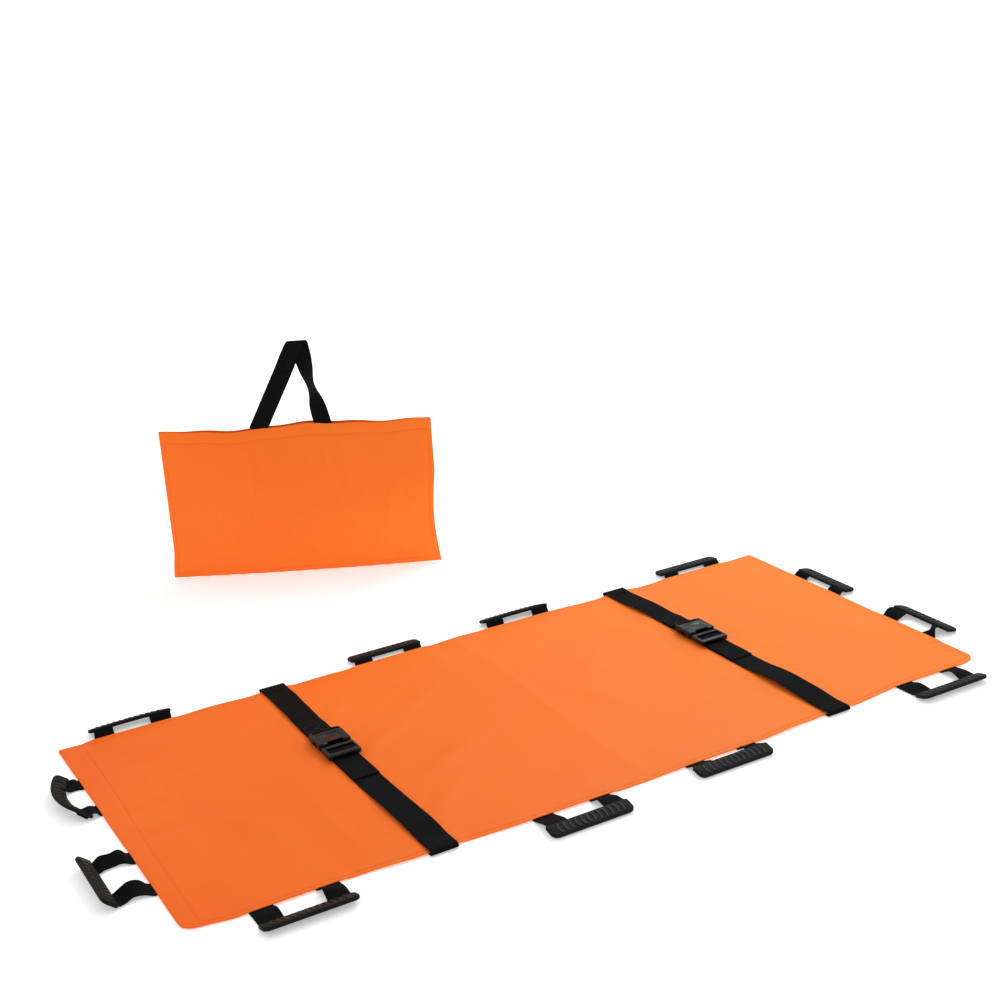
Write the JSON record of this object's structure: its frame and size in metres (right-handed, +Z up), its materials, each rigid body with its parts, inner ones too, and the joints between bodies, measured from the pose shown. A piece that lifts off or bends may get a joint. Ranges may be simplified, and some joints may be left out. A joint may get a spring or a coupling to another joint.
{
  "type": "folding stretcher",
  "caption": "Soft folding stretcher laid open: a coated fabric sheet with webbing carry handles in moulded grips round its edges, body straps with side-release buckles, and a carry pouch.",
  "frame": {"origin": "on the floor, under the middle of the open sheet", "axes": "+X along the sheet's length towards the head end, +Y to the left edge as seen from the foot end, +Z up"},
  "size_m": [1.7491, 1.5192, 0.5521],
  "materials": {
    "coated_fabric": "orange polyester with a satin waterproof coating",
    "webbing": "matt black woven webbing",
    "grip": "satin black moulded rubber with raised ribs",
    "buckle": "glossy black moulded plastic"
  },
  "bodies": {
    "leg_panel": {"sheet_leg": "coated_fabric", "left_handle_2_anchor": "webbing", "right_handle_2_anchor": "webbing", "leg_strap_socket_webbing": "webbing", "leg_strap_plug_webbing": "webbing", "leg_strap_socket": "buckle"},
    "foot_panel": {"sheet_foot": "coated_fabric", "left_handle_1_anchor": "webbing", "right_handle_1_anchor": "webbing", "foot_handle_left_anchor": "webbing", "foot_handle_right_anchor": "webbing"},
    "torso_panel": {"sheet_torso": "coated_fabric", "left_handle_3_anchor": "webbing", "right_handle_3_anchor": "webbing", "chest_strap_socket_webbing": "webbing", "chest_strap_plug_webbing": "webbing", "chest_strap_socket": "buckle"},
    "head_panel": {"sheet_head": "coated_fabric", "left_handle_4_anchor": "webbing", "right_handle_4_anchor": "webbing", "head_handle_left_anchor": "webbing", "head_handle_right_anchor": "webbing"},
    "left_handle_1": {"left_handle_1_webbing": "webbing", "left_handle_1_grip": "grip"},
    "left_handle_2": {"left_handle_2_webbing": "webbing", "left_handle_2_grip": "grip"},
    "left_handle_3": {"left_handle_3_webbing": "webbing", "left_handle_3_grip": "grip"},
    "left_handle_4": {"left_handle_4_webbing": "webbing", "left_handle_4_grip": "grip"},
    "right_handle_1": {"right_handle_1_webbing": "webbing", "right_handle_1_grip": "grip"},
    "right_handle_2": {"right_handle_2_webbing": "webbing", "right_handle_2_grip": "grip"},
    "right_handle_3": {"right_handle_3_webbing": "webbing", "right_handle_3_grip": "grip"},
    "right_handle_4": {"right_handle_4_webbing": "webbing", "right_handle_4_grip": "grip"},
    "foot_handle_left": {"foot_handle_left_webbing": "webbing", "foot_handle_left_grip": "grip"},
    "foot_handle_right": {"foot_handle_right_webbing": "webbing", "foot_handle_right_grip": "grip"},
    "head_handle_left": {"head_handle_left_webbing": "webbing", "head_handle_left_grip": "grip"},
    "head_handle_right": {"head_handle_right_webbing": "webbing", "head_handle_right_grip": "grip"},
    "leg_strap_plug": {"leg_strap_plug": "buckle", "leg_strap_tail": "webbing"},
    "leg_strap_latch_left": {"leg_strap_latch_left": "buckle"},
    "leg_strap_latch_right": {"leg_strap_latch_right": "buckle"},
    "chest_strap_plug": {"chest_strap_plug": "buckle", "chest_strap_tail": "webbing"},
    "chest_strap_latch_left": {"chest_strap_latch_left": "buckle"},
    "chest_strap_latch_right": {"chest_strap_latch_right": "buckle"},
    "pouch": {"pouch_front": "coated_fabric", "pouch_back": "coated_fabric"},
    "pouch_handle": {"pouch_handle": "webbing"}
  },
  "joints": [
    {"name": "foot_fold", "type": "hinge", "parent": "leg_panel", "child": "foot_panel", "pos_m": [-0.476, 0, 0.0308], "axis": [0, 1, 0], "range_deg": [0, 180]},
    {"name": "middle_fold", "type": "hinge", "parent": "leg_panel", "child": "torso_panel", "pos_m": [0.025, 0, 0.065], "axis": [0, -1, 0], "range_deg": [0, 180]},
    {"name": "head_fold", "type": "hinge", "parent": "torso_panel", "child": "head_panel", "pos_m": [0.513, 0, 0.0308], "axis": [0, -1, 0], "range_deg": [0, 180]},
    {"name": "left_handle_1_swing", "type": "hinge", "parent": "foot_panel", "child": "left_handle_1", "pos_m": [-0.655, 0.35, 0.009], "axis": [1, 0, 0], "range_deg": [0, 154]},
    {"name": "left_handle_2_swing", "type": "hinge", "parent": "leg_panel", "child": "left_handle_2", "pos_m": [-0.119, 0.35, 0.009], "axis": [1, 0, 0], "range_deg": [0, 178]},
    {"name": "left_handle_3_swing", "type": "hinge", "parent": "torso_panel", "child": "left_handle_3", "pos_m": [0.187, 0.35, 0.009], "axis": [1, 0, 0], "range_deg": [0, 156]},
    {"name": "left_handle_4_swing", "type": "hinge", "parent": "head_panel", "child": "left_handle_4", "pos_m": [0.64, 0.35, 0.009], "axis": [1, 0, 0], "range_deg": [0, 178]},
    {"name": "right_handle_1_swing", "type": "hinge", "parent": "foot_panel", "child": "right_handle_1", "pos_m": [-0.625, -0.361, 0.009], "axis": [-1, 0, 0], "range_deg": [0, 174]},
    {"name": "right_handle_2_swing", "type": "hinge", "parent": "leg_panel", "child": "right_handle_2", "pos_m": [-0.137, -0.378, 0.009], "axis": [-1, 0, 0], "range_deg": [0, 176]},
    {"name": "right_handle_3_swing", "type": "hinge", "parent": "torso_panel", "child": "right_handle_3", "pos_m": [0.169, -0.377, 0.009], "axis": [-1, 0, 0], "range_deg": [0, 173]},
    {"name": "right_handle_4_swing", "type": "hinge", "parent": "head_panel", "child": "right_handle_4", "pos_m": [0.666, -0.358, 0.009], "axis": [-1, 0, 0], "range_deg": [0, 176]},
    {"name": "foot_handle_left_swing", "type": "hinge", "parent": "foot_panel", "child": "foot_handle_left", "pos_m": [-0.8, 0.139, 0.009], "axis": [0, 1, 0], "range_deg": [0, 158]},
    {"name": "foot_handle_right_swing", "type": "hinge", "parent": "foot_panel", "child": "foot_handle_right", "pos_m": [-0.8, -0.156, 0.009], "axis": [0, 1, 0], "range_deg": [0, 169]},
    {"name": "head_handle_left_swing", "type": "hinge", "parent": "head_panel", "child": "head_handle_left", "pos_m": [0.8, 0.118, 0.009], "axis": [0, -1, 0], "range_deg": [0, 174]},
    {"name": "head_handle_right_swing", "type": "hinge", "parent": "head_panel", "child": "head_handle_right", "pos_m": [0.8, -0.1645, 0.009], "axis": [0, -1, 0], "range_deg": [0, 173]},
    {"name": "leg_strap_release", "type": "slide", "parent": "leg_panel", "child": "leg_strap_plug", "axis": [0, -1, 0], "range_m": [0, 0.045]},
    {"name": "leg_strap_latch_left_press", "type": "hinge", "parent": "leg_strap_plug", "child": "leg_strap_latch_left", "pos_m": [-0.3948, 0.0385, 0.0138], "axis": [0, 0, -1], "range_deg": [0, 6], "stiffness_Nm_per_rad": 0.5},
    {"name": "leg_strap_latch_right_press", "type": "hinge", "parent": "leg_strap_plug", "child": "leg_strap_latch_right", "pos_m": [-0.3572, 0.0385, 0.0138], "axis": [0, 0, 1], "range_deg": [0, 6], "stiffness_Nm_per_rad": 0.5},
    {"name": "chest_strap_release", "type": "slide", "parent": "torso_panel", "child": "chest_strap_plug", "axis": [0, -1, 0], "range_m": [0, 0.045]},
    {"name": "chest_strap_latch_left_press", "type": "hinge", "parent": "chest_strap_plug", "child": "chest_strap_latch_left", "pos_m": [0.4182, 0.0385, 0.0138], "axis": [0, 0, -1], "range_deg": [0, 6], "stiffness_Nm_per_rad": 0.5},
    {"name": "chest_strap_latch_right_press", "type": "hinge", "parent": "chest_strap_plug", "child": "chest_strap_latch_right", "pos_m": [0.4558, 0.0385, 0.0138], "axis": [0, 0, 1], "range_deg": [0, 6], "stiffness_Nm_per_rad": 0.5},
    {"name": "pouch_lift", "type": "slide", "parent": "leg_panel", "child": "pouch", "axis": [0, 0, 1], "range_m": [0, 0.25]},
    {"name": "pouch_handle_swing", "type": "hinge", "parent": "pouch", "child": "pouch_handle", "pos_m": [-0.05376, 0.91294, 0.3548], "axis": [0.8829, -0.4695, 0], "range_deg": [0, 110]}
  ],
  "couplings": [
    {"joint": "leg_strap_latch_right_press", "follows": "leg_strap_latch_left_press", "ratio": 1},
    {"joint": "chest_strap_latch_right_press", "follows": "chest_strap_latch_left_press", "ratio": 1}
  ]
}
